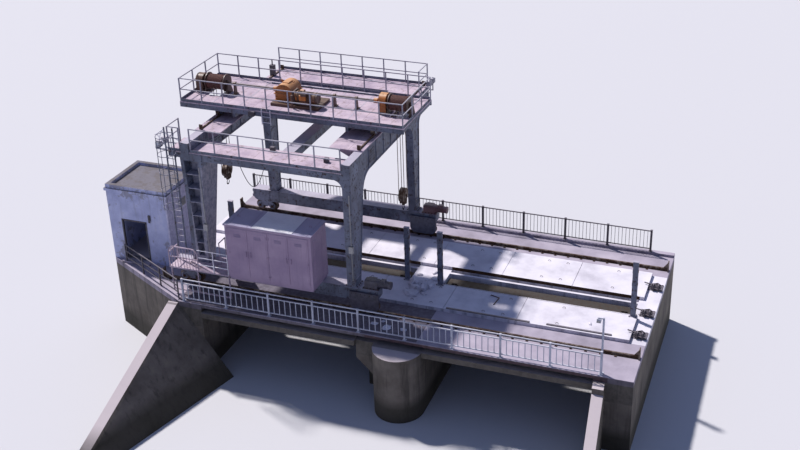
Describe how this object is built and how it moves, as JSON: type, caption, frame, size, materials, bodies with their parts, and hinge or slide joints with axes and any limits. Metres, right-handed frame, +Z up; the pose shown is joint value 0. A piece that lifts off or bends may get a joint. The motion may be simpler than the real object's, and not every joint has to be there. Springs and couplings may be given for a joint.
{
  "type": "sluice gate with travelling gate crane",
  "caption": "Two-bay river sluice with concrete piers, wheeled steel gates and a travelling gantry crane on deck rails",
  "frame": {"origin": "under the centre pier, midway between the two crane rails, on the level where the piers meet the water", "axes": "+X along the dam to the right as seen from downstream, +Y upstream, +Z up"},
  "size_m": [24.26, 18.7, 11.95],
  "materials": {
    "mass_concrete": "weathered mass concrete, streaked",
    "deck_concrete": "sun-bleached precast concrete",
    "whitewash": "whitewashed render, streaked and patched",
    "worn_steel": "rolled steel, rust-brown, worn bright on the tread",
    "railing_paint": "faded light grey-blue paint",
    "dark_railing_paint": "dark grey paint",
    "cabin_paint": "faded grey-mauve paint",
    "machine_paint": "faded orange paint with rust and grease",
    "drive_paint": "dull maroon paint",
    "gate_rust": "bitumen paint turned to brown rust",
    "platform_paint": "pale dusty paint over chequer plate",
    "crane_paint": "faded slate-blue paint with rust streaks"
  },
  "bodies": {
    "root": {"left_abutment": "mass_concrete", "centre_pier": "mass_concrete", "right_abutment": "mass_concrete", "left_wing_wall": "mass_concrete", "right_wing_wall": "mass_concrete", "house_foundation": "mass_concrete", "footway": "deck_concrete", "deck_beams": "mass_concrete", "cover_slabs": "deck_concrete", "slot_beam": "mass_concrete", "rear_walkway": "deck_concrete", "crane_rails": "worn_steel", "front_railing": "railing_paint", "rear_railing": "dark_railing_paint", "bank_handrail": "dark_railing_paint", "gate_guides": "dark_railing_paint", "gate_latches": "dark_railing_paint", "lamp_post": "dark_railing_paint", "house_front_wall": "whitewash", "house_walls": "whitewash", "house_roof": "whitewash"},
    "gantry": {"left_portal_frame": "crane_paint", "right_portal_frame": "crane_paint", "crossbeams": "crane_paint", "gantry_platforms": "platform_paint", "sill_beams": "crane_paint", "travel_bogies": "crane_paint", "travel_wheels": "worn_steel", "travel_drives": "drive_paint", "gantry_railings": "crane_paint", "switch_cabin": "cabin_paint", "cabin_landing": "crane_paint", "trolley_rails": "worn_steel", "gantry_lamps": "crane_paint"},
    "trolley": {"trolley_frame": "crane_paint", "trolley_deck": "platform_paint", "trolley_wheels": "worn_steel", "trolley_railing": "crane_paint", "hoist_drums": "machine_paint", "hoist_drive": "machine_paint", "hoist_hooks": "worn_steel"},
    "gate_left": {"left_gate": "gate_rust", "left_gate_rollers": "gate_rust"},
    "gate_right": {"right_gate": "gate_rust", "right_gate_rollers": "gate_rust"}
  },
  "joints": [
    {"name": "gantry_travel", "type": "slide", "parent": "root", "child": "gantry", "axis": [1, 0, 0], "range_m": [-0.1, 10.4]},
    {"name": "trolley_travel", "type": "slide", "parent": "gantry", "child": "trolley", "axis": [0, 1, 0], "range_m": [-1.3, 2]},
    {"name": "gate_left_lift", "type": "slide", "parent": "root", "child": "gate_left", "axis": [0, 0, 1], "range_m": [-0.35, 2.6]},
    {"name": "gate_right_lift", "type": "slide", "parent": "root", "child": "gate_right", "axis": [0, 0, 1], "range_m": [-0.35, 2.6]}
  ]
}
